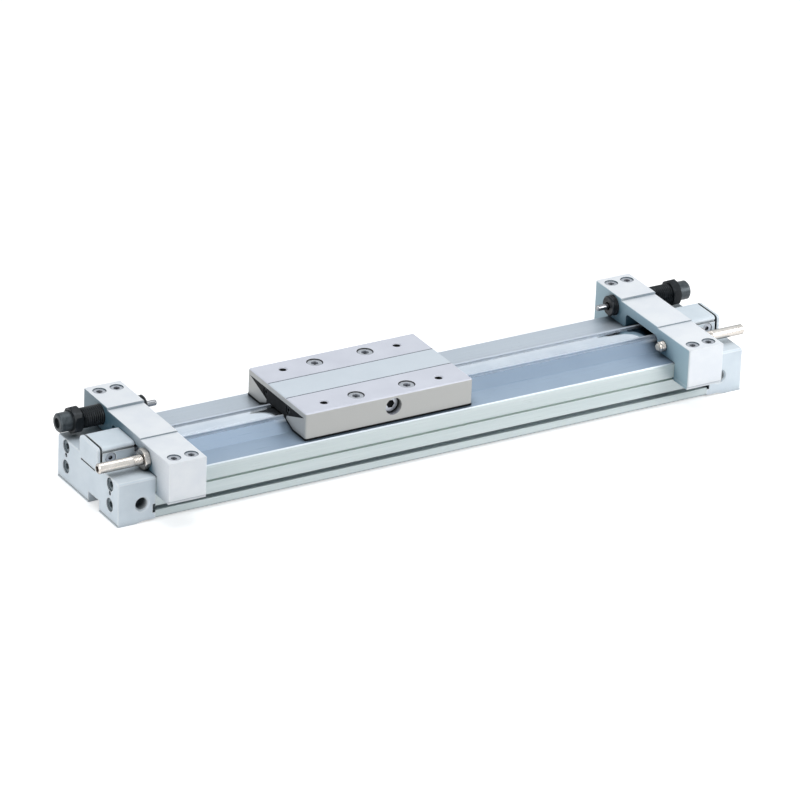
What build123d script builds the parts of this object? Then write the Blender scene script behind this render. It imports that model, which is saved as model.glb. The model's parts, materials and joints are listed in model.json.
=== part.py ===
# Rodless pneumatic cylinder with a slide-guided table, in millimetres.
# X runs along the stroke, Y across the body (minus Y is the side with the ports), Z is up.
# The origin lies under the middle of the body, on the surface that the end covers stand on.
from build123d import *
from math import cos, radians
import os

os.makedirs("parts", exist_ok=True)

# Barrel extrusion
body_length = 472.0
body_width = 84.0
cover_length = 27.0
tube_foot_gap = 1.2
edge_chamfer = 1.2
bore_diameter = 25.0
bore_floor = 3.0
bore_roof = 1.6
ridge_height = 6.2
ridge_rim = 1.5
shoulder_rise = 4.6
slope_width = 11.0
guide_groove_width = 1.6
guide_groove_depth = 3.0
guide_undercut = 1.3
guide_undercut_height = 1.2
slit_width = 7.0
belt_lap = 1.0
belt_thickness = 1.0
band_edge = 0.5
band_thickness = 0.5
band_sunk = 0.1
magnet_gap = 1.0
magnet_width = 3.0
magnet_height = 2.0
key_groove_drop = 11.2
key_groove_width = 1.6
key_groove_depth = 2.2
t_slot_rise = 7.5
t_slot_mouth = 3.2
t_slot_inner = 6.2
t_slot_lip = 1.6
t_slot_depth = 5.2
passage_wall = 6.0
passage_width = 7.0
passage_height = 15.0
slot_entry_length = 2.0
sole_groove_width = 12.0
sole_groove_depth = 1.4
sole_groove_inset = 12.0

# End covers
cover_edge = 0.5
cover_screw_inset = 11.5
cover_screw_rise = 10.4
cover_screw_drop = 4.8
cover_screw_diameter = 5.0
cover_screw_head = 8.5
cover_screw_head_depth = 5.0
cover_screw_grip = 14.0
cover_screw_recess = 6.0
needle_drop = 11.0
needle_diameter = 3.0
needle_length = 12.0
needle_sunk = 0.8
needle_slot = 1.0
port_reach = 9.6
port_drop = 3.4
port_drill = 8.8
port_mouth = 10.6
port_mouth_depth = 1.0
port_depth = 8.5
port_passage = 4.0
plug_length = 7.0
plug_socket = 5.0
plug_socket_depth = 4.0
crown_width = 25.0
crown_height = 12.0
crown_round = 2.6
crown_lip = 2.2
crown_gap = 1.6
crown_seat = 1.8
crown_line_depth = 1.2
crown_line_width = 1.6
crown_line_drop = 3.1
face_line_width = 1.4
face_line_depth = 1.0
face_line_drop = 3.4
notch_width = 15.0
notch_offset = -8.5
notch_height = 8.0
notch_length = 17.0
foot_length = 13.0
foot_slope = 5.0
sole_tap_drill = 4.2
sole_tap_depth = 7.0
sole_tap_inset = 10.0
sole_tap_offset = 22.0
gasket_thickness = 0.8
gasket_side = 11.0
gasket_height = 24.0
gasket_corner = 6.0
boss_diameter = 15.0
boss_length = 8.0
boss_root = 6.0
boss_bore = 6.0
boss_edge = 1.0
clamp_screw_inset = 6.0
clamp_screw_drop = 8.0
clamp_screw_diameter = 4.0
clamp_screw_head = 7.0
clamp_screw_recess = 2.6
clamp_screw_head_depth = 2.2
clamp_screw_length = 8.0
clamp_screw_socket = 3.0
clamp_screw_socket_depth = 1.4

# Stop holders at both ends
holder_length = 27.0
holder_end_gap = 0.3
holder_leg = 17.35
holder_side_gap = 0.15
holder_top_gap = 0.3
shock_wall = 1.5
shock_pad_rise = 1.6
bolt_pad_drop = 0.8
shock_pad_margin = 9.3
bolt_pad_margin = 8.7
arch_width = 40.0
arch_height = 10.2
arch_round = 3.0
holder_edge = 0.6
holder_top_round = 0.7
holder_screw_reach = 9.5
holder_screw_pitch = 12.5
holder_screw_diameter = 5.0
holder_screw_head = 8.5
holder_screw_head_depth = 5.0
holder_screw_recess = 5.6
counterbore_gap = 0.35
key_rise = 0.8
key_thickness = 2.2
key_tongue = 1.3
key_tongue_reach = 1.9
key_edge_inset = 1.0

# Shock absorbers on the far side of the holders
shock_inset = 6.0
shock_diameter = 14.0
shock_front_reach = 4.7
shock_front_edge = 0.8
shock_rear_reach = 4.0
shock_cap_length = 9.0
shock_cap_step = 0.5
shock_cap_edge = 1.0
shock_cap_recess = 7.0
shock_cap_recess_depth = 2.0
shock_gland = 6.0
shock_chamber_gap = 0.5
shock_rod_diameter = 4.0
shock_rod_reach = 9.0
shock_rod_round = 1.2
shock_piston_diameter = 9.0
shock_piston_length = 6.0
shock_nut_flats = 17.0
shock_nut_thickness = 6.0
shock_nut_gap = 0.4

# Adjusting bolts on the near side of the holders
bolt_inset = 14.0
bolt_diameter = 7.0
bolt_outer_reach = 8.0
bolt_edge = 0.8
bolt_inner_reach = 4.3
bolt_nut_flats = 13.0
bolt_nut_thickness = 4.0
bolt_nut_gap = 0.3
bolt_socket = 4.0
bolt_socket_depth = 4.0
bumper_diameter = 4.6
bumper_length = 2.6
bumper_seat = 1.4
bumper_round = 0.8

# Carriage and table
table_centre = -36.0
table_length = 125.0
table_side_step = 3.1
table_plate = 6.3
table_leg_thickness = 5.9
table_edge_round = 1.4
table_corner_round = 1.5
table_line_offset = 12.2
table_line_width = 0.9
table_line_depth = 0.6
table_screw_pitch = 38.0
table_screw_inset = 11.4
table_screw_diameter = 6.0
table_screw_head = 10.0
table_screw_head_depth = 4.4
table_screw_recess = 5.0
table_screw_gap = 0.65
table_tap_pitch = 86.0
table_tap_drill = 5.0
table_tap_mouth = 6.6
table_tap_mouth_depth = 0.8
side_plug_shift = 3.0
side_plug_drop = 7.9
side_plug_diameter = 11.0
side_plug_gap = 0.5
side_plug_sunk = 1.6
side_plug_slot = 2.0
side_plug_slot_depth = 1.2
end_block_length = 4.5
end_block_gap = 0.8
end_plate_length = 4.0
end_plate_top_inset = 2.5
end_plate_drop = 3.9
end_plate_foot_side = 4.0
end_plate_foot_rise = 4.0
end_plate_screw_side = 5.5
end_plate_screw_drop = 3.3
end_plate_screw_head = 5.5
end_plate_screw_head_depth = 2.5
end_plate_screw_diameter = 3.0
end_plate_screw_sunk = 0.5
end_plate_screw_length = 5.5
slide_gap = 0.1
wiper_gap = 0.3
wiper_thickness = 1.4
wiper_inset = 0.4
scraper_width = 3.2

# Coupler, yoke and piston
coupler_gap = 1.4
coupler_slot_gap = 1.0
neck_length = 32.0
neck_side_gap = 0.5
neck_head_thickness = 3.0
bridge_length = 6.0
yoke_length = 80.0
yoke_clearance = 0.4
yoke_flat_drop = 1.6
belt_dip = 4.0
belt_floor_gap = 0.7
belt_side_gap = 0.3
belt_flat = 36.0
belt_ramp = 16.0
band_gap_below = 1.0
band_gap_above = 1.1
band_flat = 40.0
band_ramp = 26.0
piston_length = 24.0
piston_edge = 0.8
spigot_diameter = 12.0
spigot_length = 8.0
spigot_drop = 2.0
ring_gap = 0.05
ring_groove_depth = 1.8
seal_width = 3.4
seal_place = 16.5
wear_ring_width = 4.0
wear_ring_place = 2.0
magnet_ring_place = 9.0
magnet_ring_width = 5.0
magnet_ring_depth = 2.2

# Clearances shared by many pieces
fit_clearance = 0.1
running_gap = 0.05
socket_share = 0.8
socket_depth_share = 0.55

# Places along the stroke
body_end = body_length / 2
tube_end = body_end - cover_length
port_x = tube_end + port_reach
clamp_outer = body_end - crown_lip - crown_gap
holder_outer_end = tube_end - holder_end_gap
holder_inner_end = holder_outer_end - holder_length
holder_centre = holder_inner_end + holder_length / 2
shock_front = holder_inner_end - shock_front_reach
shock_rear_end = body_end + shock_rear_reach
rod_tip = shock_front - shock_rod_reach
bolt_outer_end = body_end + bolt_outer_reach
bolt_inner_end = holder_inner_end - bolt_inner_reach
bumper_back = bolt_inner_end + bumper_seat
table_left = table_centre - table_length / 2
table_right = table_centre + table_length / 2

# Places across the body
half_width = body_width / 2
slit_half = slit_width / 2
belt_half = slit_half + belt_lap
magnet_centre = slit_half + magnet_gap + magnet_width / 2
band_half = magnet_centre + magnet_width / 2 + band_edge
ridge_half = band_half + ridge_rim
guide_groove_half = ridge_half + guide_groove_width
slope_edge = guide_groove_half + slope_width
shoulder_edge = half_width - edge_chamfer
bore_radius = bore_diameter / 2
passage_offset = bore_radius + passage_wall + passage_width / 2
cover_screw_offset = half_width - cover_screw_inset
shock_offset = half_width - shock_inset
bolt_offset = half_width - bolt_inset
holder_inner_half = half_width + holder_side_gap
holder_half = holder_inner_half + holder_leg
holder_screw_offset = half_width + holder_screw_reach
shock_pad_edge = shock_offset - shock_pad_margin
bolt_pad_edge = bolt_offset - bolt_pad_margin
table_half = half_width - table_side_step
cavity_half = table_half - table_leg_thickness
table_screw_offset = table_half - table_screw_inset
wiper_half = table_half - wiper_inset
end_plate_top_half = table_half - end_plate_top_inset
end_plate_foot_half = ridge_half + end_plate_foot_side
end_plate_screw_offset = ridge_half + end_plate_screw_side
channel_half = band_half + coupler_slot_gap
yoke_radius = bore_radius - yoke_clearance

# Heights
bore_height = tube_foot_gap + bore_floor + bore_radius
belt_underside = bore_height + bore_radius
shoulder_height = belt_underside + bore_roof
shoulder_foot = shoulder_height + shoulder_rise
ridge_top = shoulder_height + ridge_height
guide_groove_floor = shoulder_foot - guide_groove_depth
band_underside = ridge_top - band_thickness - band_sunk
key_groove_centre = shoulder_height - key_groove_drop
t_slot_centre = tube_foot_gap + t_slot_rise
cover_screw_low = tube_foot_gap + cover_screw_rise
cover_screw_high = shoulder_height - cover_screw_drop
needle_height = shoulder_height - needle_drop
port_height = bore_height - port_drop
crown_top = shoulder_height + crown_height
shock_height = shoulder_height + shock_nut_flats / 2 / cos(radians(30)) + shock_nut_gap
bolt_height = shoulder_height + bolt_nut_flats / 2 + bolt_nut_gap
shock_pad_top = shock_height + shock_diameter / 2 + shock_wall
holder_mid_height = shock_pad_top - shock_pad_rise
bolt_pad_top = holder_mid_height - bolt_pad_drop
holder_bottom = key_groove_centre + key_rise
coupler_bottom = ridge_top + coupler_gap
neck_head_height = coupler_bottom + neck_head_thickness
band_lift = neck_head_height + band_gap_below - band_underside
table_plate_bottom = neck_head_height + band_gap_below + band_thickness + band_gap_above
table_top = table_plate_bottom + table_plate
end_plate_height = table_top - end_plate_drop
end_plate_screw_height = end_plate_height - end_plate_screw_drop
side_plug_height = table_top - side_plug_drop


# Shape helpers
def block(x0, x1, y0, y1, z0, z1):
    """A box between two corners."""
    return Pos((x0 + x1) / 2, (y0 + y1) / 2, (z0 + z1) / 2) * Box(x1 - x0, y1 - y0, z1 - z0)


def rod_x(diameter, x0, x1, y, z):
    """A round bar along X."""
    return Pos((x0 + x1) / 2, y, z) * Rot(0, 90, 0) * Cylinder(diameter / 2, abs(x1 - x0))


def rod_y(diameter, x, y0, y1, z):
    """A round bar along Y."""
    return Pos(x, (y0 + y1) / 2, z) * Rot(90, 0, 0) * Cylinder(diameter / 2, abs(y1 - y0))


def rod_z(diameter, x, y, z0, z1):
    """A round bar along Z."""
    return Pos(x, y, (z0 + z1) / 2) * Cylinder(diameter / 2, abs(z1 - z0))


def along_x(section, x0, x1):
    """A section drawn in Y and Z, extruded from x0 to x1."""
    return extrude(Plane.YZ.offset(x0) * section, amount=x1 - x0)


def rectangle(y0, y1, z0, z1):
    """A flat rectangle in a Y and Z section."""
    return Pos((y0 + y1) / 2, (z0 + z1) / 2) * Rectangle(y1 - y0, z1 - z0)


def save(shape, name):
    """Write one piece, or one group of like pieces, to its own file."""
    export_step(shape, "parts/" + name + ".step")


def save_ends(shape, name):
    """Write a piece of the right-hand end, and its mirror image at the left-hand end."""
    save(shape, name + "_right")
    save(mirror(shape, about=Plane.YZ), name + "_left")


def group(shapes):
    """Separate solids kept together as one compound."""
    return Compound(children=list(shapes))


def hexagon_x(flats, x0, x1, y, z, turn):
    """A hexagonal bar along X; turn 0 puts a flat at the top and 30 a corner."""
    across_corners = flats / cos(radians(30))
    section = Pos(y, z) * Rot(0, 0, turn) * RegularPolygon(across_corners / 2, 6)
    return along_x(section, x0, x1)


def mirrored(right_side):
    """A closed section from the points of its right half, from bottom middle to top middle."""
    left_side = [(-y, z) for y, z in reversed(right_side[1:-1])]
    return make_face(Polyline(*right_side, *left_side, close=True))


def shoulder_line(y):
    """The height of the tube's shoulder, which rises towards the ridge, off the middle by y."""
    return shoulder_height + shoulder_rise * max(0, slope_edge - y) / slope_width


def top_room(shoulder_gap, ridge_gap):
    """The section that a piece over the tube keeps clear of, with a gap to shoulder and ridge."""
    window = ridge_half + ridge_gap
    return mirrored(
        [
            (0, tube_foot_gap),
            (half_width, tube_foot_gap),
            (half_width, shoulder_height + shoulder_gap),
            (slope_edge, shoulder_height + shoulder_gap),
            (window, shoulder_line(window) + shoulder_gap),
            (window, ridge_top + ridge_gap),
            (0, ridge_top + ridge_gap),
        ]
    )


# Barrel
def tube_section():
    """The extruded section of the barrel with its slots, bore and passages."""
    undercut_half = ridge_half - guide_undercut
    undercut_top = guide_groove_floor + guide_undercut_height
    section = mirrored(
        [
            (0, tube_foot_gap),
            (shoulder_edge, tube_foot_gap),
            (half_width, tube_foot_gap + edge_chamfer),
            (half_width, shoulder_height - edge_chamfer),
            (shoulder_edge, shoulder_height),
            (slope_edge, shoulder_height),
            (guide_groove_half, shoulder_foot),
            (guide_groove_half, guide_groove_floor),
            (undercut_half, guide_groove_floor),
            (undercut_half, undercut_top),
            (ridge_half, undercut_top + guide_undercut),
            (ridge_half, ridge_top),
            (0, ridge_top),
        ]
    )
    section -= Pos(0, bore_height) * Circle(bore_radius)
    section -= rectangle(-slit_half, slit_half, bore_height, ridge_top)
    belt_seat = belt_half + fit_clearance
    belt_seat_top = belt_underside + belt_thickness + fit_clearance
    section -= rectangle(-belt_seat, belt_seat, bore_height, belt_seat_top)
    band_seat = band_half + fit_clearance
    section -= rectangle(-band_seat, band_seat, band_underside, ridge_top)
    t_inner = t_slot_depth - t_slot_lip
    sole_groove_offset = half_width - sole_groove_inset - sole_groove_width / 2
    cuts = [
        (magnet_centre, band_underside - magnet_height / 2, magnet_width, magnet_height),
        (half_width - key_groove_depth / 2, key_groove_centre, key_groove_depth, key_groove_width),
        (half_width - t_slot_lip / 2, t_slot_centre, t_slot_lip, t_slot_mouth),
        (half_width - t_slot_lip - t_inner / 2, t_slot_centre, t_inner, t_slot_inner),
        (sole_groove_offset, tube_foot_gap + sole_groove_depth / 2, sole_groove_width, sole_groove_depth),
    ]
    passage = Rot(0, 0, 90) * SlotOverall(passage_height, passage_width)
    for side in (-1, 1):
        for y, z, width, height in cuts:
            section -= Pos(side * y, z) * Rectangle(width, height)
        section -= Pos(side * passage_offset, bore_height) * passage
    return section


def screw_places():
    """The Y and Z places of the four end cover screws."""
    sides = (-cover_screw_offset, cover_screw_offset)
    return [(y, z) for y in sides for z in (cover_screw_low, cover_screw_high)]


def cylinder_tube():
    tube = along_x(tube_section(), -tube_end, tube_end)
    tap = cover_screw_diameter + 2 * running_gap
    for y, z in screw_places():
        for side in (-1, 1):
            tube -= rod_x(tap, side * (tube_end - cover_screw_grip - 1), side * (tube_end + 1), y, z)
    return tube


save(cylinder_tube(), "cylinder_tube")


# Strips that close the slit
def hump_path(level, lift, flat, ramp):
    """The line of a strip that leaves its seat to pass the carriage's neck."""
    start, stop = -tube_end, tube_end
    half_flat = flat / 2
    points = [
        (start, level),
        (table_centre - half_flat - ramp, level),
        (table_centre - half_flat, level + lift),
        (table_centre + half_flat, level + lift),
        (table_centre + half_flat + ramp, level),
        (stop, level),
    ]
    return FilletPolyline(*points, radius=ramp)


def strip(level, lift, flat, ramp, width, thickness):
    """A flat strip along the tube that follows the hump path."""
    path = Plane.XZ * hump_path(level + thickness / 2, lift, flat, ramp)
    section = Plane.YZ.offset(-tube_end) * (Pos(0, level + thickness / 2) * Rectangle(width, thickness))
    return sweep(section, path=path)


save(strip(band_underside, band_lift, band_flat, band_ramp, 2 * band_half, band_thickness), "dust_band")
save(strip(belt_underside, -belt_dip, belt_flat, belt_ramp, 2 * belt_half, belt_thickness), "seal_belt")

magnet_strip = block(
    -tube_end,
    tube_end,
    magnet_centre - magnet_width / 2 + running_gap,
    magnet_centre + magnet_width / 2 - running_gap,
    band_underside - magnet_height,
    band_underside,
)
save(group([magnet_strip, mirror(magnet_strip, about=Plane.XZ)]), "seal_magnets")


# End covers, drawn at the right-hand end
def crown_section(half, top, corner):
    """The raised middle of the cover, a block with rounded top corners."""
    bottom = shoulder_height - crown_seat
    outline = rectangle(-half, half, bottom, top)
    corners = outline.vertices().group_by(Axis.Y)[-1]
    return fillet(corners, corner)


def port_cut(side):
    """A threaded port in one side face, with its countersunk mouth."""
    face = side * half_width
    hole = rod_y(port_drill, port_x, face, face - side * port_depth, port_height)
    mouth = Pos(port_x, face - side * port_mouth_depth / 2, port_height) * Rot(side * -90, 0, 0)
    cone = mouth * Cone(port_drill / 2, port_mouth / 2, port_mouth_depth)
    return hole + cone


def gasket_outline(gap):
    """The rounded outline of the flat seal, smaller by a gap all round."""
    width = 2 * (half_width - gasket_side - gap)
    return Pos(0, bore_height) * RectangleRounded(width, gasket_height - 2 * gap, gasket_corner - gap)


def end_cover():
    low = block(tube_end, body_end, -half_width, half_width, tube_foot_gap, shoulder_height)
    low = chamfer(low.edges().filter_by(Axis.X).group_by(Axis.Z)[-1], edge_chamfer)
    crown = crown_section(crown_width / 2, crown_top, crown_round)
    cover = low + along_x(crown, body_end - crown_lip, body_end)
    rim = cover.faces().sort_by(Axis.X)[-1].edges()
    cover = chamfer(rim, cover_edge)
    foot_back = body_end - foot_length
    foot_profile = make_face(
        Polyline(
            (body_end, tube_foot_gap),
            (body_end, 0),
            (foot_back, 0),
            (foot_back - foot_slope, tube_foot_gap),
            close=True,
        )
    )
    cover += extrude(Plane.XZ * foot_profile, amount=half_width, both=True)
    seat = rectangle(-crown_width / 2, crown_width / 2, shoulder_height - crown_seat, shoulder_height)
    cover -= along_x(seat, tube_end, clamp_outer)
    notch_low = notch_offset - notch_width / 2
    notch_high = notch_offset + notch_width / 2
    cover -= block(body_end - notch_length, body_end + 1, notch_low, notch_high, -1, notch_height)
    entry_low = t_slot_centre - t_slot_inner / 2
    entry_high = t_slot_centre + t_slot_inner / 2
    for side in (-1, 1):
        cover -= port_cut(side)
        sides = sorted((side * (half_width - t_slot_depth), side * (half_width + 1)))
        cover -= block(tube_end, tube_end + slot_entry_length, *sides, entry_low, entry_high)
    reach = half_width - port_depth + 1
    cover -= rod_y(port_passage, port_x, -reach, reach, bore_height)
    cover -= rod_x(port_passage, tube_end, port_x, 0, bore_height)
    head_room = cover_screw_head + 2 * counterbore_gap
    for y, z in screw_places():
        cover -= rod_x(cover_screw_diameter + 2 * running_gap, tube_end, body_end, y, z)
        cover -= rod_x(head_room, body_end - cover_screw_recess, body_end + 1, y, z)
    for side in (-1, 1):
        y = side * cover_screw_offset
        needle_hole = needle_diameter + 2 * running_gap
        cover -= rod_x(needle_hole, body_end - needle_length - needle_sunk, body_end + 1, y, needle_height)
        tap_x = body_end - sole_tap_inset
        cover -= rod_z(sole_tap_drill, tap_x, side * sole_tap_offset, -1, sole_tap_depth)
    line_top = shoulder_height - face_line_drop
    half_line = crown_width / 2 - crown_round
    cover -= block(
        body_end - face_line_depth, body_end + 1, -half_line, half_line, line_top - face_line_width, line_top
    )
    cover -= along_x(gasket_outline(0), tube_end, tube_end + gasket_thickness)
    boss_depth = tube_end + gasket_thickness + boss_root
    cover -= rod_x(boss_diameter, tube_end, boss_depth, 0, bore_height)
    return cover


save_ends(end_cover(), "end_cover")


def end_gasket():
    """The flat seal between tube and cover, open at the boss and at the screws."""
    sheet = gasket_outline(fit_clearance) - Pos(0, bore_height) * Circle(boss_diameter / 2 + fit_clearance)
    for y, z in screw_places():
        sheet -= Pos(y, z) * Circle(cover_screw_diameter / 2 + 4 * fit_clearance)
    return along_x(sheet, tube_end, tube_end + gasket_thickness)


save_ends(end_gasket(), "end_gasket")


def cushion_boss():
    """The spigot in the cover that the air passes through and the piston stops near."""
    root_end = tube_end + gasket_thickness + boss_root
    boss = rod_x(boss_diameter, tube_end - boss_length, root_end, 0, bore_height)
    boss = chamfer(boss.edges().filter_by(GeomType.CIRCLE).sort_by(Axis.X)[0], boss_edge)
    return boss - rod_x(boss_bore, tube_end - boss_length - 1, root_end + 1, 0, bore_height)


save_ends(cushion_boss(), "cushion_boss")


def cap_screw_x(diameter, head, head_depth, x_face, x_tip, y, z):
    """A socket head screw along X, its head's outer face at x_face."""
    screw = rod_x(head, x_face - head_depth, x_face, y, z) + rod_x(diameter, x_tip, x_face - head_depth, y, z)
    socket = hexagon_x(diameter * socket_share, x_face - head_depth * socket_depth_share, x_face + 1, y, z, 0)
    return screw - socket


def cap_screw_z(diameter, head, head_depth, x, y, z_tip, z_face):
    """A socket head screw that points down, its head's top at z_face."""
    screw = rod_z(head, x, y, z_face - head_depth, z_face) + rod_z(diameter, x, y, z_tip, z_face - head_depth)
    across_corners = diameter * socket_share / cos(radians(30))
    socket = extrude(RegularPolygon(across_corners / 2, 6), amount=head_depth)
    return screw - Pos(x, y, z_face - head_depth * socket_depth_share) * socket


cover_screw_face = body_end - cover_screw_recess + cover_screw_head_depth
save_ends(
    group(
        cap_screw_x(
            cover_screw_diameter,
            cover_screw_head,
            cover_screw_head_depth,
            cover_screw_face,
            tube_end - cover_screw_grip,
            y,
            z,
        )
        for y, z in screw_places()
    ),
    "cover_screws",
)


def cushion_needle(y):
    """A slotted needle that sets the end cushion."""
    face = body_end - needle_sunk
    needle = rod_x(needle_diameter, face - needle_length, face, y, needle_height)
    half_slot = needle_slot / 2
    sides = (y - needle_diameter, y + needle_diameter)
    levels = (needle_height - half_slot, needle_height + half_slot)
    return needle - block(face - needle_slot, face + 1, *sides, *levels)


save_ends(group(cushion_needle(y) for y in (-cover_screw_offset, cover_screw_offset)), "cushion_needles")


def port_plug():
    """The plug with a hexagon socket that closes the unused far port."""
    outer = half_width - port_mouth_depth
    plug = rod_y(port_drill, port_x, outer, outer - plug_length, port_height)
    across_corners = plug_socket / cos(radians(30))
    socket = Plane.XZ.offset(-outer) * (Pos(port_x, port_height) * RegularPolygon(across_corners / 2, 6))
    return plug - extrude(socket, amount=plug_socket_depth)


save_ends(port_plug(), "port_plug")


def band_clamp():
    """The block in the cover's crown that holds the ends of both strips."""
    inner, outer = tube_end, clamp_outer
    clamp = along_x(crown_section(crown_width / 2, crown_top, crown_round), inner, outer)
    line_z = crown_top - crown_line_drop
    for side in (-1, 1):
        face = side * crown_width / 2
        low, high = sorted((face, face - side * crown_line_depth))
        clamp -= block(inner, outer, low, high, line_z - crown_line_width / 2, line_z + crown_line_width / 2)
        x = outer - clamp_screw_inset
        z = crown_top - clamp_screw_drop
        bore = clamp_screw_head + 2 * counterbore_gap
        clamp -= rod_y(bore, x, face, face - side * clamp_screw_recess, z)
        deep = face - side * (clamp_screw_recess + clamp_screw_length)
        clamp -= rod_y(clamp_screw_diameter, x, face, deep, z)
    return clamp


save_ends(band_clamp(), "band_clamp")


def clamp_screw(side):
    """A low-headed socket screw from the side of the band clamp."""
    x = clamp_outer - clamp_screw_inset
    z = crown_top - clamp_screw_drop
    inner = side * (crown_width / 2 - clamp_screw_recess)
    outer = inner + side * clamp_screw_head_depth
    screw = rod_y(clamp_screw_head, x, inner, outer, z)
    screw += rod_y(clamp_screw_diameter, x, inner, inner - side * clamp_screw_length, z)
    return screw - rod_y(clamp_screw_socket, x, outer, outer - side * clamp_screw_socket_depth, z)


save_ends(group(clamp_screw(side) for side in (-1, 1)), "band_clamp_screws")


# Stop holders, drawn at the right-hand end
def holder_screw_places():
    """The X and Y places of a holder's four clamping screws."""
    half = holder_screw_pitch / 2
    sides = (-holder_screw_offset, holder_screw_offset)
    return [(holder_centre + x, y) for y in sides for x in (-half, half)]


def pad_top(y):
    """The height of the holder's top at a place across the body."""
    return shock_pad_top if y > 0 else bolt_pad_top


def stop_holder():
    ceiling = shoulder_height + holder_top_gap
    ceiling_foot = shoulder_foot + holder_top_gap
    outline = make_face(
        Polyline(
            (-holder_half, holder_bottom),
            (-holder_inner_half, holder_bottom),
            (-holder_inner_half, ceiling),
            (-slope_edge, ceiling),
            (-guide_groove_half, ceiling_foot),
            (guide_groove_half, ceiling_foot),
            (slope_edge, ceiling),
            (holder_inner_half, ceiling),
            (holder_inner_half, holder_bottom),
            (holder_half, holder_bottom),
            (holder_half, shock_pad_top),
            (shock_pad_edge, shock_pad_top),
            (shock_pad_edge, holder_mid_height),
            (-bolt_pad_edge, holder_mid_height),
            (-bolt_pad_edge, bolt_pad_top),
            (-holder_half, bolt_pad_top),
            close=True,
        )
    )
    arch = rectangle(-arch_width / 2, arch_width / 2, ceiling - 1, shoulder_height + arch_height)
    arch = fillet(arch.vertices().group_by(Axis.Y)[-1], arch_round)
    holder = along_x(outline - arch, holder_inner_end, holder_outer_end)
    upright = holder.edges().filter_by(Axis.Z)
    holder = chamfer(upright.filter_by(lambda edge: abs(edge.center().Y) > holder_half - 1), holder_edge)
    rims = holder.edges().filter_by(Axis.Y).filter_by(lambda edge: edge.center().Z > bolt_pad_top - 1)
    holder = fillet(rims, holder_top_round)
    ends = (holder_inner_end - 1, holder_outer_end + 1)
    holder -= rod_x(shock_diameter + 2 * running_gap, *ends, shock_offset, shock_height)
    holder -= rod_x(bolt_diameter + 2 * running_gap, *ends, -bolt_offset, bolt_height)
    for x, y in holder_screw_places():
        top = pad_top(y)
        holder -= rod_z(holder_screw_head + 2 * counterbore_gap, x, y, top - holder_screw_recess, top + 1)
        holder -= rod_z(holder_screw_diameter + 2 * fit_clearance, x, y, holder_bottom - 1, top)
    return holder


save_ends(stop_holder(), "stop_holder")


def holder_key(side):
    """The bar under a holder's leg, with a tongue in the groove of the tube."""
    key_top = holder_bottom
    key_bottom = holder_bottom - key_thickness
    body = (holder_inner_half, holder_half - key_edge_inset)
    tongue_low = key_groove_centre - key_tongue / 2
    tongue = (half_width - key_tongue_reach, holder_inner_half + 1)
    section = rectangle(*body, key_bottom, key_top) + rectangle(*tongue, tongue_low, tongue_low + key_tongue)
    key = along_x(section, holder_inner_end, holder_outer_end)
    for x, y in holder_screw_places():
        if y > 0:
            key -= rod_z(holder_screw_diameter, x, y, key_bottom - 1, key_top + 1)
    return key if side > 0 else mirror(key, about=Plane.XZ)


save_ends(group(holder_key(side) for side in (-1, 1)), "holder_keys")


def holder_screw(x, y):
    """A socket head screw from the top of the holder down to its key."""
    face = pad_top(y) - holder_screw_recess + holder_screw_head_depth
    tip = holder_bottom - key_thickness
    return cap_screw_z(holder_screw_diameter, holder_screw_head, holder_screw_head_depth, x, y, tip, face)


save_ends(group(holder_screw(x, y) for x, y in holder_screw_places()), "holder_screws")


# Shock absorbers, drawn at the right-hand end
def shock_body():
    """The black tube of the absorber, hollow for its rod and piston."""
    rear = shock_rear_end - shock_cap_length
    body = rod_x(shock_diameter, shock_front, rear, shock_offset, shock_height)
    body = chamfer(body.edges().filter_by(GeomType.CIRCLE).sort_by(Axis.X)[0], shock_front_edge)
    rod_hole = shock_rod_diameter + 2 * running_gap
    body -= rod_x(rod_hole, shock_front - 1, rear, shock_offset, shock_height)
    chamber = shock_piston_diameter + 2 * shock_chamber_gap
    return body - rod_x(chamber, shock_front + shock_gland, rear, shock_offset, shock_height)


save_ends(shock_body(), "shock_body")


def shock_cap():
    """The bare metal rear end of the absorber."""
    rear = shock_rear_end - shock_cap_length
    cap = rod_x(shock_diameter - 2 * shock_cap_step, rear, shock_rear_end, shock_offset, shock_height)
    cap = chamfer(cap.edges().filter_by(GeomType.CIRCLE).sort_by(Axis.X)[-1], shock_cap_edge)
    recess_floor = shock_rear_end - shock_cap_recess_depth
    return cap - rod_x(shock_cap_recess, recess_floor, shock_rear_end + 1, shock_offset, shock_height)


save_ends(shock_cap(), "shock_cap")


def lock_nut(flats, thickness, bore, x0, y, z, turn):
    """A hexagonal nut whose inner face is at x0, with both rims rounded off."""
    nut = hexagon_x(flats, x0, x0 + thickness, y, z, turn)
    across_corners = flats / cos(radians(30))
    rim = rod_x(across_corners, x0, x0 + thickness, y, z)
    rim = chamfer(rim.edges().filter_by(GeomType.CIRCLE), (across_corners - flats) / 2)
    return (nut & rim) - rod_x(bore, x0 - 1, x0 + thickness + 1, y, z)


shock_nut_start = shock_rear_end - shock_cap_length - shock_nut_thickness
save_ends(
    lock_nut(
        shock_nut_flats,
        shock_nut_thickness,
        shock_diameter + 2 * running_gap,
        shock_nut_start,
        shock_offset,
        shock_height,
        30,
    ),
    "shock_nut",
)


def shock_rod():
    """The piston rod of the absorber, with its rounded tip and its piston."""
    head_start = shock_front + shock_gland + fit_clearance
    rod = rod_x(shock_rod_diameter, rod_tip, head_start, shock_offset, shock_height)
    rod = fillet(rod.edges().filter_by(GeomType.CIRCLE).sort_by(Axis.X)[0], shock_rod_round)
    head_end = head_start + shock_piston_length
    return rod + rod_x(shock_piston_diameter, head_start, head_end, shock_offset, shock_height)


save_ends(shock_rod(), "shock_rod")


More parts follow.
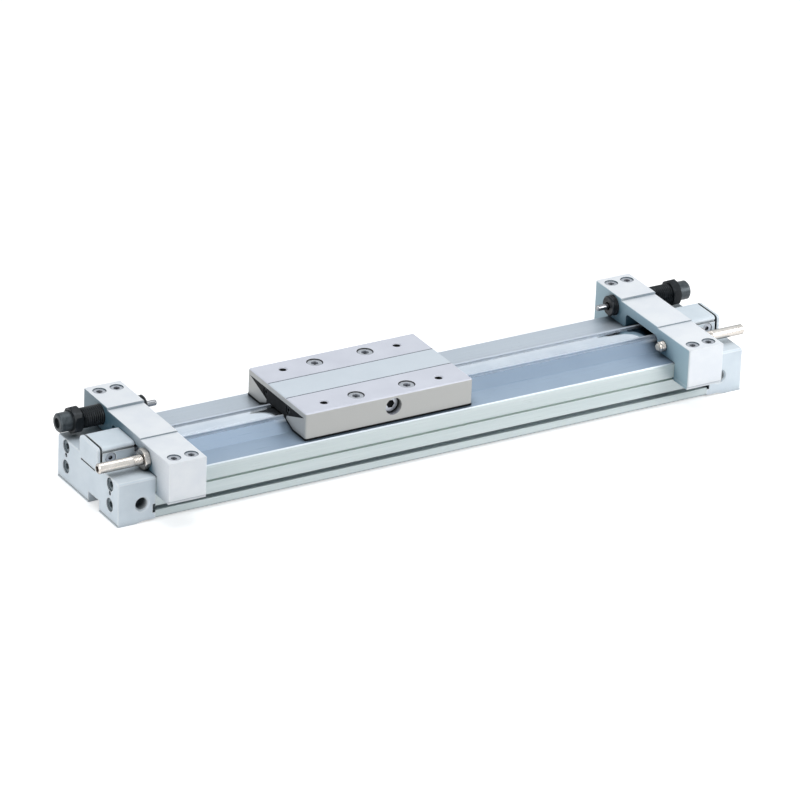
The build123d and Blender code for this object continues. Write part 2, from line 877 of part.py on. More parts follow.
# Adjusting bolts, drawn at the right-hand end
def adjust_bolt():
    """The stop bolt: a threaded bar with a pocket for the bumper in its inner end."""
    bolt = rod_x(bolt_diameter, bolt_inner_end, bolt_outer_end, -bolt_offset, bolt_height)
    bolt = chamfer(bolt.edges().filter_by(GeomType.CIRCLE), bolt_edge)
    pocket = rod_x(bumper_diameter, bolt_inner_end - 1, bumper_back, -bolt_offset, bolt_height)
    socket_floor = bolt_outer_end - bolt_socket_depth
    socket = hexagon_x(bolt_socket, socket_floor, bolt_outer_end + 1, -bolt_offset, bolt_height, 0)
    return bolt - pocket - socket


save_ends(adjust_bolt(), "adjust_bolt")

bumper = rod_x(bumper_diameter, bumper_back - bumper_length, bumper_back, -bolt_offset, bolt_height)
bumper = fillet(bumper.edges().filter_by(GeomType.CIRCLE).sort_by(Axis.X)[0], bumper_round)
save_ends(bumper, "bolt_bumper")
save_ends(
    lock_nut(
        bolt_nut_flats,
        bolt_nut_thickness,
        bolt_diameter + 2 * running_gap,
        holder_outer_end,
        -bolt_offset,
        bolt_height,
        0,
    ),
    "bolt_nut",
)


# Carriage
def table_grid(pitch):
    """Four places for screws or taps, a pitch apart along the table."""
    sides = (-table_screw_offset, table_screw_offset)
    return [(table_centre + x, y) for x in (-pitch / 2, pitch / 2) for y in sides]


def end_plate_outline():
    """The outline of the black plate, wide under the table's top and narrow at the ridge."""
    foot = shoulder_line(end_plate_foot_half)
    return mirrored(
        [
            (0, shoulder_height),
            (end_plate_foot_half, shoulder_height),
            (end_plate_foot_half, foot + end_plate_foot_rise),
            (end_plate_top_half, end_plate_height),
            (0, end_plate_height),
        ]
    )


def slide_table():
    table = block(table_left, table_right, -table_half, table_half, shoulder_height, table_top)
    corners = table.edges().filter_by(Axis.Z)
    table = fillet(corners, table_corner_round)
    table = fillet(table.faces().sort_by(Axis.Z)[-1].edges(), table_edge_round)
    end_inset = end_plate_length + end_block_length
    cavity = (table_left + end_inset, table_right - end_inset)
    table -= block(*cavity, -cavity_half, cavity_half, shoulder_height, table_plate_bottom)
    table -= along_x(top_room(wiper_gap + wiper_thickness, end_block_gap), table_left, table_right)
    for x0, x1 in ((table_left, table_left + end_plate_length), (table_right - end_plate_length, table_right)):
        table -= along_x(end_plate_outline(), x0, x1)
    for y in (-table_line_offset, table_line_offset):
        sides = (y - table_line_width / 2, y + table_line_width / 2)
        table -= block(table_left, table_right, *sides, table_top - table_line_depth, table_top + 1)
    recess = table_screw_head + 2 * table_screw_gap
    for x, y in table_grid(table_screw_pitch):
        table -= rod_z(recess, x, y, table_top - table_screw_recess, table_top + 1)
        table -= rod_z(table_screw_diameter + 2 * fit_clearance, x, y, table_plate_bottom - 1, table_top)
    for x, y in table_grid(table_tap_pitch):
        table -= rod_z(table_tap_drill, x, y, table_plate_bottom - 1, table_top + 1)
        mouth = Pos(x, y, table_top - table_tap_mouth_depth / 2)
        table -= mouth * Cone(table_tap_drill / 2, table_tap_mouth / 2, table_tap_mouth_depth)
    plug_room = side_plug_diameter + 2 * side_plug_gap
    for side in (-1, 1):
        x = table_centre + side_plug_shift
        table -= rod_y(plug_room, x, side * cavity_half, side * (table_half + 1), side_plug_height)
        screw_y = side * end_plate_screw_offset
        for x0, x1 in ((table_left, table_left + end_inset), (table_right - end_inset, table_right)):
            table -= rod_x(end_plate_screw_diameter, x0, x1, screw_y, end_plate_screw_height)
    return table


save(slide_table(), "slide_table")


def table_screw(x, y):
    """A socket head screw that holds the table to the coupler."""
    depth = table_screw_head_depth
    face = table_top - table_screw_recess + depth
    return cap_screw_z(table_screw_diameter, table_screw_head, depth, x, y, coupler_bottom, face)


save(group(table_screw(x, y) for x, y in table_grid(table_screw_pitch)), "table_screws")


def side_plug(side):
    """A slotted plug in the side of the table."""
    x = table_centre + side_plug_shift
    outer = side * (table_half - side_plug_sunk)
    plug = rod_y(side_plug_diameter, x, side * cavity_half, outer, side_plug_height)
    slot = Box(side_plug_diameter * 2, side_plug_slot_depth * 2, side_plug_slot)
    return plug - Pos(x, outer, side_plug_height) * Rot(0, 45, 0) * slot


save(group(side_plug(side) for side in (-1, 1)), "side_plugs")


def slide_bearing(side):
    """A resin bar on the tube's shoulder, with a lip in the groove beside the ridge."""
    lip = ridge_half - guide_undercut + slide_gap
    low = guide_groove_floor + slide_gap
    lip_top = guide_groove_floor + guide_undercut_height - slide_gap
    wall = ridge_half + slide_gap
    outer_wall = guide_groove_half - slide_gap
    section = make_face(
        Polyline(
            (lip, low),
            (outer_wall, low),
            (outer_wall, shoulder_line(outer_wall) + slide_gap),
            (slope_edge, shoulder_height + slide_gap),
            (cavity_half, shoulder_height + slide_gap),
            (cavity_half, coupler_bottom),
            (wall, coupler_bottom),
            (wall, lip_top + guide_undercut),
            (lip, lip_top),
            close=True,
        )
    )
    end_inset = end_plate_length + end_block_length
    bearing = along_x(section, table_left + end_inset, table_right - end_inset)
    return bearing if side > 0 else mirror(bearing, about=Plane.XZ)


save(group(slide_bearing(side) for side in (-1, 1)), "slide_bearings")


def side_scraper(side):
    """The strip under the table's edge that keeps dirt off the shoulder."""
    section = rectangle(wiper_half - scraper_width, wiper_half, shoulder_height, table_top)
    section &= top_room(wiper_gap + wiper_thickness, end_block_gap)
    section -= top_room(wiper_gap, wiper_gap)
    strip_piece = along_x(section, table_left + end_plate_length, table_right - end_plate_length)
    return strip_piece if side > 0 else mirror(strip_piece, about=Plane.XZ)


save(group(side_scraper(side) for side in (-1, 1)), "side_scrapers")


def end_plate():
    """The black plate with its wiping lips at the right-hand end of the table."""
    lips = rectangle(-wiper_half, wiper_half, shoulder_height, table_top)
    lips &= top_room(wiper_gap + wiper_thickness, end_block_gap)
    section = end_plate_outline() + lips - top_room(wiper_gap, wiper_gap)
    plate = along_x(section, table_right - end_plate_length, table_right)
    for side in (-1, 1):
        y = side * end_plate_screw_offset
        head_room = end_plate_screw_head + 2 * fit_clearance
        x = table_right - end_plate_screw_sunk - end_plate_screw_head_depth
        plate -= rod_x(head_room, x, table_right + 1, y, end_plate_screw_height)
        plate -= rod_x(end_plate_screw_diameter, table_right - end_plate_length, x, y, end_plate_screw_height)
    return plate


table_mirror = Plane.YZ.offset(table_centre)
save(end_plate(), "end_plate_right")
save(mirror(end_plate(), about=table_mirror), "end_plate_left")


def end_plate_screw(y):
    """A small socket screw in the end plate at the right-hand end of the table."""
    face = table_right - end_plate_screw_sunk
    depth = end_plate_screw_head_depth
    tip = face - depth - end_plate_screw_length
    z = end_plate_screw_height
    return cap_screw_x(end_plate_screw_diameter, end_plate_screw_head, depth, face, tip, y, z)


right_plate_screws = [end_plate_screw(side * end_plate_screw_offset) for side in (-1, 1)]
left_plate_screws = [mirror(screw, about=table_mirror) for screw in right_plate_screws]
save(group(right_plate_screws + left_plate_screws), "end_plate_screws")

# Coupler between table and piston
neck_left = table_centre - neck_length / 2
neck_right = table_centre + neck_length / 2
neck_half_width = slit_half - neck_side_gap


def coupler_plate():
    """The plate under the table, open along its middle for the raised band."""
    end_inset = end_plate_length + end_block_length
    x0, x1 = table_left + end_inset, table_right - end_inset
    plate = block(x0, x1, -cavity_half, cavity_half, coupler_bottom, table_plate_bottom)
    plate -= block(x0, x1, -channel_half, channel_half, coupler_bottom - 1, table_plate_bottom + 1)
    for start, stop in ((neck_left - bridge_length, neck_left), (neck_right, neck_right + bridge_length)):
        plate += block(start, stop, -channel_half, channel_half, coupler_bottom, neck_head_height)
    for x, y in table_grid(table_screw_pitch):
        plate -= rod_z(table_screw_diameter, x, y, coupler_bottom - 1, table_plate_bottom + 1)
    for x, y in table_grid(table_tap_pitch):
        plate -= rod_z(table_tap_mouth, x, y, coupler_bottom - 1, table_plate_bottom + 1)
    return plate


save(coupler_plate(), "coupler_plate")


def piston_yoke():
    """The piece that joins both pistons and reaches up through the slit."""
    yoke_left, yoke_right = table_centre - yoke_length / 2, table_centre + yoke_length / 2
    yoke = rod_x(2 * yoke_radius, yoke_left, yoke_right, 0, bore_height)
    flat = belt_underside - yoke_flat_drop
    above = flat + bore_radius
    yoke -= block(yoke_left, yoke_right, -bore_radius, bore_radius, flat, above)
    channel_floor = belt_underside - belt_dip - belt_floor_gap
    channel_side = belt_half + belt_side_gap
    yoke -= block(yoke_left, yoke_right, -channel_side, channel_side, channel_floor, above)
    neck_bottom = channel_floor + belt_thickness + 2 * belt_floor_gap
    neck = (neck_left, neck_right)
    yoke += block(*neck, -neck_half_width, neck_half_width, neck_bottom, neck_head_height)
    yoke += block(*neck, -channel_side, channel_side, neck_bottom, flat)
    yoke += block(*neck, -channel_half, channel_half, coupler_bottom, neck_head_height)
    spigot_height = bore_height - spigot_drop
    for face, tip in ((yoke_left, yoke_left - spigot_length), (yoke_right, yoke_right + spigot_length)):
        yoke += rod_x(spigot_diameter, face, tip, 0, spigot_height)
    return yoke


save(piston_yoke(), "piston_yoke")


def ring_groove(width, place, depth):
    """The ring-shaped room of a seal on the right-hand piston."""
    start = table_centre + yoke_length / 2 + place
    outer = rod_x(2 * bore_radius, start, start + width, 0, bore_height)
    return outer - rod_x(2 * (yoke_radius - depth), start, start + width, 0, bore_height)


def ring(width, place, depth):
    """A ring that fills its groove and just clears the bore."""
    start = table_centre + yoke_length / 2 + place
    outer = rod_x(2 * (bore_radius - ring_gap), start, start + width, 0, bore_height)
    return outer - rod_x(2 * (yoke_radius - depth), start, start + width, 0, bore_height)


rings = {
    "wear_rings": (wear_ring_width, wear_ring_place, ring_groove_depth),
    "piston_seals": (seal_width, seal_place, ring_groove_depth),
    "piston_magnets": (magnet_ring_width, magnet_ring_place, magnet_ring_depth),
}


def piston():
    """The right-hand piston, with grooves for its magnet, wear ring and seal."""
    start = table_centre + yoke_length / 2
    body = rod_x(2 * yoke_radius, start, start + piston_length, 0, bore_height)
    body = chamfer(body.edges().filter_by(GeomType.CIRCLE).sort_by(Axis.X)[-1], piston_edge)
    body -= rod_x(spigot_diameter, start, start + spigot_length, 0, bore_height - spigot_drop)
    for width, place, depth in rings.values():
        body -= ring_groove(width, place, depth)
    return body


save(piston(), "piston_right")
save(mirror(piston(), about=table_mirror), "piston_left")
for name, (width, place, depth) in rings.items():
    piece = ring(width, place, depth)
    if name == "piston_magnets":
        start = table_centre + yoke_length / 2 + place
        sleeve = rod_x(2 * yoke_radius, start, start + width, 0, bore_height)
        piece = piece & sleeve
    save(group([piece, mirror(piece, about=table_mirror)]), name)
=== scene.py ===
# A rodless pneumatic cylinder with a slide table: finishes, threads, strips, light and camera.
# All sizes are in metres, in the same frame as the model: X along the stroke, Z up, -Y near.
import json
import math

import bmesh
import bpy
from mathutils import Matrix, Vector


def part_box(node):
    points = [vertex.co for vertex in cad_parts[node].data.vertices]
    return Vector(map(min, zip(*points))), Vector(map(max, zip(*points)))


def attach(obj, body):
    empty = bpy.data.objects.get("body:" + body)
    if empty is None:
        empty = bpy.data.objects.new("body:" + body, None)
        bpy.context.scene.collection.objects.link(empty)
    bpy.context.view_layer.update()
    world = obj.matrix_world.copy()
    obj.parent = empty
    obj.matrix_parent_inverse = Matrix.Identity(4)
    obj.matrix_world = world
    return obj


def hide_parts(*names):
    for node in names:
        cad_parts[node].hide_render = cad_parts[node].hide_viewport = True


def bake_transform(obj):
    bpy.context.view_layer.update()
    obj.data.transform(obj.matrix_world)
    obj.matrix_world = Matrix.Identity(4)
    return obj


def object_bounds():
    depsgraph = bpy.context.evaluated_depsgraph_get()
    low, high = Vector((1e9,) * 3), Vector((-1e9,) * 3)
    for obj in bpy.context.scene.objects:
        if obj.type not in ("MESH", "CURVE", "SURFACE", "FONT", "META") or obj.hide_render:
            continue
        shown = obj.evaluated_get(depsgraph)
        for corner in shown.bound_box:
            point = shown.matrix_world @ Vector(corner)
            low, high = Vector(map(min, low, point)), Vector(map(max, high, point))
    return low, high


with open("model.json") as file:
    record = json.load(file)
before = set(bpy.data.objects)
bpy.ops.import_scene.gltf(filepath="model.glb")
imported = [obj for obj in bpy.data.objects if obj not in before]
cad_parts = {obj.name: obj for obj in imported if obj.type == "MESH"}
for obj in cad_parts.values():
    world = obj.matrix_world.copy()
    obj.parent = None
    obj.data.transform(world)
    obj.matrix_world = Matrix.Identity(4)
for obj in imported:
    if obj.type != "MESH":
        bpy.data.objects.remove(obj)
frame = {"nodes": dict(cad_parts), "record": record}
cad_low, cad_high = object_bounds()
MM = 0.001


# Node helpers
def linear(screen):
    """A colour given as it looks on a screen, 0 to 255, as a linear shader colour."""
    channels = [c / 255 for c in screen]
    return [c / 12.92 if c <= 0.04045 else ((c + 0.055) / 1.055) ** 2.4 for c in channels] + [1]


class Recipe:
    """A material in the making, with short calls for the nodes that the finishes share."""

    def __init__(self, name, roughness, metallic=0.0, specular=0.5):
        self.material = bpy.data.materials.new(name)
        self.material.use_nodes = True
        self.nodes = self.material.node_tree.nodes
        self.links = self.material.node_tree.links
        self.shader = self.nodes["Principled BSDF"]
        self.roughness = roughness
        self.shader.inputs["Roughness"].default_value = roughness
        self.shader.inputs["Metallic"].default_value = metallic
        self.shader.inputs["Specular IOR Level"].default_value = specular
        self.place = self.nodes.new("ShaderNodeTexCoord").outputs["Object"]

    def node(self, kind, values=None, **settings):
        made = self.nodes.new(kind)
        for key, value in settings.items():
            setattr(made, key, value)
        for key, value in (values or {}).items():
            if isinstance(value, bpy.types.NodeSocket):
                self.links.new(value, made.inputs[key])
            else:
                made.inputs[key].default_value = value
        return made

    def noise(self, scale, stretch=(1, 1, 1), *, detail):
        """Noise of a feature size of about 1 / scale metres, drawn out along an axis by stretch."""
        spread = self.node("ShaderNodeMapping", {"Vector": self.place, "Scale": stretch})
        values = {"Vector": spread.outputs[0], "Scale": scale, "Detail": detail, "Roughness": 0.55}
        return self.node("ShaderNodeTexNoise", values).outputs["Fac"]

    def spread(self, value, low, high, new_low=0, new_high=1):
        """A value stretched from one range to another and kept inside it."""
        names = ("Value", "From Min", "From Max", "To Min", "To Max")
        values = dict(zip(names, (value, low, high, new_low, new_high)))
        return self.node("ShaderNodeMapRange", values).outputs[0]

    def math(self, operation, a, b):
        return self.node("ShaderNodeMath", {0: a, 1: b}, operation=operation).outputs[0]

    def absolute(self, value):
        return self.node("ShaderNodeMath", {0: value}, operation="ABSOLUTE").outputs[0]

    def axis(self, letter):
        """One coordinate of the place on the object."""
        return self.node("ShaderNodeSeparateXYZ", {0: self.place}).outputs[letter]

    def normal(self):
        return self.node("ShaderNodeNewGeometry").outputs["Normal"]

    def facing(self, letter):
        """How far the surface is turned to one axis, from -1 to 1."""
        return self.node("ShaderNodeSeparateXYZ", {0: self.normal()}).outputs[letter]

    def rounded_normal(self, radius):
        """The surface's direction, as if its edges had a small round."""
        return self.node("ShaderNodeBevel", {"Radius": radius}, samples=6).outputs[0]

    def mix(self, share, first, second):
        """Two colours mixed by a share. A colour is a socket, or screen values from 0 to 255."""
        mixed = self.node("ShaderNodeMix", data_type="RGBA")
        self.links.new(share, mixed.inputs[0])
        for socket, colour in ((mixed.inputs[6], first), (mixed.inputs[7], second)):
            if isinstance(colour, bpy.types.NodeSocket):
                self.links.new(colour, socket)
            else:
                socket.default_value = linear(colour)
        return mixed.outputs[2]

    def painted_shade(self, reach, colour, dark, full=0.3, none=0.85):
        """A colour that turns to a painted shade where other surfaces close it in, as in holes and
        gaps.

        The painted shade is whole where the open share around is below `full`, and gone above
        `none`.
        """
        occlusion = self.node("ShaderNodeAmbientOcclusion", {"Distance": reach}, samples=8)
        return self.mix(self.spread(occlusion.outputs["AO"], full, none, 1, 0), colour, dark)

    def painted_edge_highlight(self, radius, base, highlight, most):
        """A colour that turns to a painted highlight on edges, where their small rounds would catch
        the light.
        """
        on_edge, beside_edge = 0.93, 0.99
        directions = {0: self.rounded_normal(radius), 1: self.normal()}
        agreement = self.node("ShaderNodeVectorMath", directions, operation="DOT_PRODUCT")
        share = self.spread(agreement.outputs["Value"], on_edge, beside_edge, most, 0)
        return self.mix(share, base, highlight)

    def colour(self, value):
        self.links.new(value, self.shader.inputs["Base Color"])

    def vary_roughness(self, pattern, first, last, low=0.3, high=0.7):
        """The roughness, changed by a first to a last amount as a pattern goes from low to high."""
        varied = self.spread(pattern, low, high, self.roughness + first, self.roughness + last)
        self.links.new(varied, self.shader.inputs["Roughness"])

    def bump(self, height, strength, distance, edge=0):
        """Relief from a height, over edges rounded by a radius where one is given."""
        values = {"Height": height, "Strength": strength, "Distance": distance}
        if edge:
            values["Normal"] = self.rounded_normal(edge)
        self.links.new(self.node("ShaderNodeBump", values).outputs[0], self.shader.inputs["Normal"])


# Finishes
def drawn_metal(name, light, dark, roughness, metallic=0.55, grain=2600):
    """Metal with fine lines along the stroke, softly clouded, as drawn or rolled metal is."""
    recipe = Recipe(name, roughness, metallic)
    lines = recipe.noise(grain, (0.02, 1, 1), detail=3)
    clouds = recipe.noise(45, detail=2)
    share = recipe.spread(recipe.math("ADD", lines, clouds), 0.7, 1.3)
    base = recipe.mix(share, dark, light)
    # Painted shade where the metal is closed in
    recipe.colour(recipe.painted_shade(10 * MM, base, (22, 30, 36), full=0.4, none=0.9))
    recipe.vary_roughness(lines, -0.06, 0.08)
    recipe.bump(lines, strength=0.35, distance=0.02 * MM)
    return recipe.material


def tube_metal():
    """The extrusion: drawing lines along the stroke, paler sides, and painted reflections,
    highlights and shade.
    """
    # Places across and heights between which one look gives way to the next
    between_shoulders = (-12 * MM, 12 * MM)
    band_side = (12.2 * MM, 14.0 * MM)
    slope_foot = (21.9 * MM, 22.1 * MM)
    corner_across = (40.7 * MM, 40.9 * MM)
    side_across = (40.8 * MM, 41.6 * MM)
    between_grooves = (14.0 * MM, 14.5 * MM)
    side_top = (29.6 * MM, 30.0 * MM)
    shoulder_edge = (29.8 * MM, 30.0 * MM)
    corner_up = (30.0 * MM, 30.2 * MM)
    ridge_foot = (36.4 * MM, 36.8 * MM)

    recipe = Recipe("tube_anodised", roughness=0.34, metallic=0.3)
    lines = recipe.noise(2400, (0.015, 1, 1), detail=3)
    broad = recipe.noise(260, (0.006, 1, 1), detail=2)
    clouds = recipe.noise(22, detail=2)
    across, up = recipe.axis("Y"), recipe.axis("Z")
    distance = recipe.absolute(across)

    # Painted reflections on the top: a bluer near shoulder with a painted shade on its slope, a
    # paler far shoulder and a paler ridge
    near_flat = recipe.mix(recipe.spread(clouds, 0.3, 0.7), (148, 168, 191), (157, 177, 198))
    near = recipe.mix(recipe.spread(distance, *slope_foot, 0.28, 0), near_flat, (104, 120, 142))
    shoulder = recipe.mix(recipe.spread(across, *between_shoulders), near, (194, 203, 213))
    top = recipe.mix(recipe.spread(up, *ridge_foot), shoulder, (214, 223, 236))
    side = recipe.mix(recipe.spread(broad, 0.35, 0.65), (196, 207, 208), (212, 221, 221))
    beside = recipe.spread(distance, *side_across)
    below = recipe.spread(up, *side_top, 1, 0)
    base = recipe.mix(recipe.math("MAXIMUM", beside, below), top, side)
    streak = recipe.spread(recipe.math("ADD", lines, broad), 0.75, 1.25, 0, 0.16)
    streaked = recipe.mix(streak, base, (150, 162, 176))
    # A painted highlight along the top corners
    corner_reach = recipe.spread(distance, *corner_across)
    corner = recipe.math("MULTIPLY", corner_reach, recipe.spread(up, *corner_up))
    in_the_open = recipe.mix(corner, streaked, (238, 245, 251))

    # Painted shade in the grooves, paler in the upper one, and on the top where it is closed in,
    # though the ridge turns pale there instead
    in_groove = recipe.mix(recipe.spread(up, *between_grooves), (126, 142, 148), (200, 212, 208))
    on_side = recipe.painted_shade(5 * MM, in_the_open, in_groove)
    by_band = recipe.mix(recipe.spread(distance, *band_side), (236, 244, 252), (36, 48, 56))
    on_top = recipe.painted_shade(14 * MM, in_the_open, by_band, full=0.3, none=0.82)
    recipe.colour(recipe.mix(recipe.spread(up, *shoulder_edge), on_side, on_top))
    recipe.vary_roughness(lines, -0.07, 0.08)
    recipe.bump(lines, strength=0.3, distance=0.02 * MM)
    return recipe.material


def coated_casting(name, light, dark, roughness, hidden, inner, shade, shine, outer=None):
    """A satin coat with a fine orange-peel grain and a few specks.

    It turns to `hidden` where it is closed in, a painted shade, by a `shade` of reach and limits,
    and grows paler on its edges by a share of `shine`, a painted highlight. Faces turned to the
    carriage are `inner`, a painted shade. Faces turned away from it go over to `outer` towards
    the far side, where the absorber is, a painted reflection of the absorber.
    """
    recipe = Recipe(name, roughness)
    peel = recipe.noise(1500, detail=2)
    clouds = recipe.noise(60, detail=3)
    specks = recipe.spread(recipe.noise(900, detail=1), 0.68, 0.74, 0, 0.35)
    base = recipe.mix(recipe.spread(clouds, 0.35, 0.65), dark, light)
    speckled = recipe.mix(specks, base, dark)
    # About 0.2 on faces turned outward along the stroke, -0.2 on those turned to the carriage
    outward = recipe.math("MULTIPLY", recipe.facing("X"), recipe.axis("X"))
    turned_in = recipe.spread(outward, -0.16, -0.12, 1, 0)
    # Faces turned to the carriage take a painted shade
    coat = recipe.mix(turned_in, speckled, inner)
    # Faces turned away take a painted reflection of the absorber, strongest at the far side
    if outer:
        turned_out = recipe.spread(outward, 0.12, 0.16)
        by_absorber = recipe.spread(recipe.axis("Y"), -24 * MM, 8 * MM, 0, 0.9)
        coat = recipe.mix(recipe.math("MULTIPLY", turned_out, by_absorber), coat, outer)
    # A painted highlight on the edges, and a painted shade where the coat is closed in
    edged = recipe.painted_edge_highlight(1.0 * MM, coat, (252, 254, 255), shine)
    reach, full, none = shade
    recipe.colour(recipe.painted_shade(reach, edged, hidden, full, none))
    recipe.vary_roughness(peel, -0.06, 0.08)
    recipe.bump(peel, strength=0.3, distance=0.05 * MM, edge=0.6 * MM)
    return recipe.material


def milled_metal():
    """Face-milled and anodised plate: shallow cutter arcs over a fine matt grain.

    Its middle is tinted and its sides take a painted shade. Its gaps take a painted shade too,
    paler in the groove at each side.
    """
    middle_edge = (12.0 * MM, 12.4 * MM)
    groove, groove_edge = 12.2 * MM, (0.6 * MM, 1.2 * MM)
    cutter_centre, arc_tone, arc_relief = (0.25, 0.0, 0.0), 0.18, 0.35

    recipe = Recipe("table_milled", roughness=0.42, metallic=0.25)
    fine = recipe.noise(3200, (0.35, 1, 1), detail=2)
    clouds = recipe.noise(40, detail=2)
    centred = recipe.node("ShaderNodeMapping", {"Vector": recipe.place, "Location": cutter_centre})
    values = {"Vector": centred.outputs[0], "Scale": 320, "Distortion": 0.4, "Detail": 1.0}
    wave = recipe.node("ShaderNodeTexWave", values, wave_type="RINGS", rings_direction="Z")
    arcs = wave.outputs["Fac"]
    cloudy = recipe.spread(clouds, 0.3, 0.7, 0.1, 0.8)
    share = recipe.math("ADD", recipe.spread(arcs, 0, 1, 0, arc_tone), cloudy)
    plate = recipe.mix(share, (204, 206, 217), (216, 218, 228))
    distance = recipe.absolute(recipe.axis("Y"))
    tinted = recipe.mix(recipe.spread(distance, *middle_edge, 0.5, 0), plate, (206, 220, 226))
    # Faces that don't look up take a painted shade
    base = recipe.mix(recipe.spread(recipe.facing("Z"), 0.4, 0.6, 1, 0), tinted, (182, 182, 180))
    # Painted shade where the plate is closed in, paler in the groove at each side
    off_groove = recipe.absolute(recipe.math("SUBTRACT", distance, groove))
    in_groove = recipe.spread(off_groove, *groove_edge, 1, 0)
    hidden = recipe.mix(in_groove, (22, 26, 28), (150, 158, 168))
    recipe.colour(recipe.painted_shade(8 * MM, base, hidden, full=0.4, none=0.85))
    height = recipe.math("ADD", recipe.spread(arcs, 0, 1, 0, arc_relief), fine)
    recipe.vary_roughness(height, -0.07, 0.07, high=1.1)
    recipe.bump(height, strength=0.18, distance=0.02 * MM)
    return recipe.material


def turned_steel(name, light, dark, roughness, metallic, rim=0.6, stain=380):
    """Steel with fine turning marks, faint stains and a painted dark reflection where it turns away
    from the eye.
    """
    recipe = Recipe(name, roughness, metallic)
    marks = recipe.noise(4200, (1, 0.08, 0.08), detail=2)
    stains = recipe.noise(stain, detail=3)
    share = recipe.spread(recipe.math("ADD", marks, stains), 0.7, 1.3)
    # A painted dark reflection where the surface turns away from the eye
    turned_away = recipe.node("ShaderNodeLayerWeight", {"Blend": 0.5}).outputs["Facing"]
    away = recipe.spread(turned_away, 0.35, 0.9, 0, rim)
    base = recipe.mix(away, recipe.mix(share, dark, light), (60, 60, 62))
    # Painted shade where the steel is closed in
    recipe.colour(recipe.painted_shade(3 * MM, base, (24, 26, 28), full=0.3, none=0.7))
    recipe.vary_roughness(stains, -0.08, 0.12)
    recipe.bump(marks, strength=0.25, distance=0.02 * MM)
    return recipe.material


def black_oxide():
    """Black oxide on steel, a little oily, with rubbed paler patches."""
    recipe = Recipe("black_oxide", roughness=0.38, metallic=0.2, specular=0.3)
    patches = recipe.noise(240, detail=4)
    fine = recipe.noise(2600, detail=2)
    recipe.colour(recipe.mix(recipe.spread(patches, 0.52, 0.68), (18, 23, 27), (40, 44, 49)))
    recipe.vary_roughness(patches, 0.1, -0.1)
    recipe.bump(fine, strength=0.2, distance=0.03 * MM)
    return recipe.material


def moulded(name, light, dark, roughness):
    """Moulded resin or rubber with a fine grain."""
    recipe = Recipe(name, roughness, specular=0.15)
    grain = recipe.noise(2200, detail=2)
    clouds = recipe.noise(120, detail=2)
    recipe.colour(recipe.mix(recipe.spread(clouds, 0.35, 0.65), dark, light))
    recipe.vary_roughness(grain, -0.08, 0.08)
    recipe.bump(grain, strength=0.3, distance=0.05 * MM)
    return recipe.material


finishes = {
    "tube": tube_metal(),
    "cover": coated_casting(
        "cover_coat", (218, 228, 236), (209, 220, 229), roughness=0.36,
        hidden=(28, 44, 52), inner=(196, 210, 220), shade=(10 * MM, 0.2, 0.64), shine=0.8,
    ),
    "holder": coated_casting(
        "holder_coat", (238, 241, 245), (231, 235, 241), roughness=0.38,
        hidden=(60, 92, 108), inner=(168, 194, 206), shade=(26 * MM, 0.35, 0.97), shine=0.4,
        outer=(72, 104, 118),
    ),
    "table": milled_metal(),
    "machined_alloy": drawn_metal(
        "machined_alloy", (205, 207, 209), (180, 182, 186), roughness=0.36
    ),
    "screw_steel": turned_steel(
        "screw_steel", (208, 211, 218), (184, 188, 196), roughness=0.34, metallic=0.7
    ),
    "black_steel": black_oxide(),
    "shock_steel": turned_steel(
        "shock_steel", (78, 84, 88), (50, 56, 60), roughness=0.4, metallic=0.6
    ),
    "bolt_steel": turned_steel(
        "bolt_steel", (224, 218, 212), (204, 196, 188), roughness=0.24, metallic=0.9,
        rim=0.8, stain=60,
    ),
    "rod_chrome": turned_steel(
        "rod_chrome", (170, 170, 172), (140, 142, 146), roughness=0.2, metallic=1.0,
        rim=0.8, stain=60,
    ),
    "band_steel": drawn_metal(
        "band_steel", (222, 228, 236), (206, 214, 225), roughness=0.12, metallic=1.0, grain=3200
    ),
    "magnet": moulded("magnet_strip", (52, 48, 46), (40, 37, 36), roughness=0.7),
    "rubber_seal": moulded("nitrile_rubber", (20, 22, 24), (14, 16, 18), roughness=0.7),
    "dark_resin": moulded("dark_resin", (14, 16, 19), (8, 10, 12), roughness=0.6),
    "bearing_resin": moulded("bearing_resin", (226, 224, 214), (214, 211, 200), roughness=0.45),
    "bumper_resin": moulded("bumper_resin", (206, 204, 198), (188, 186, 180), roughness=0.4),
}
# The screws deep in the covers' corners catch less light than the others, so their steel carries a
# painted shade
screw_steel_in_shade = turned_steel(
    "painted_shade_screw_steel", (132, 144, 150), (104, 116, 122), roughness=0.42, metallic=0.5
)

for part in frame["record"]["subparts"]:
    mesh = frame["nodes"][part["node"]].data
    mesh.materials.clear()
    mesh.materials.append(finishes[part["material_slot"]])
for end in ("left", "right"):
    frame["nodes"]["cover_screws_" + end].data.materials[0] = screw_steel_in_shade


# Pieces made here
def add_piece(mesh, name, slot, body=None, sharp=35):
    """Turn a finished bmesh into a smooth-shaded piece with its slot's finish, riding on a body."""
    bmesh.ops.recalc_face_normals(mesh, faces=mesh.faces)
    data = bpy.data.meshes.new(name)
    mesh.to_mesh(data)
    mesh.free()
    for face in data.polygons:
        face.use_smooth = True
    data.set_sharp_from_angle(angle=math.radians(sharp))
    data.materials.append(finishes[slot])
    piece = bpy.data.objects.new(name, data)
    bpy.context.scene.collection.objects.link(piece)
    if body:
        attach(piece, body)
    return piece


def join_rows(mesh, pairs):
    """Faces between each pair of closed rows of points."""
    for first, second in pairs:
        for i in range(len(first)):
            j = (i + 1) % len(first)
            mesh.faces.new((first[i], first[j], second[j], second[i]))


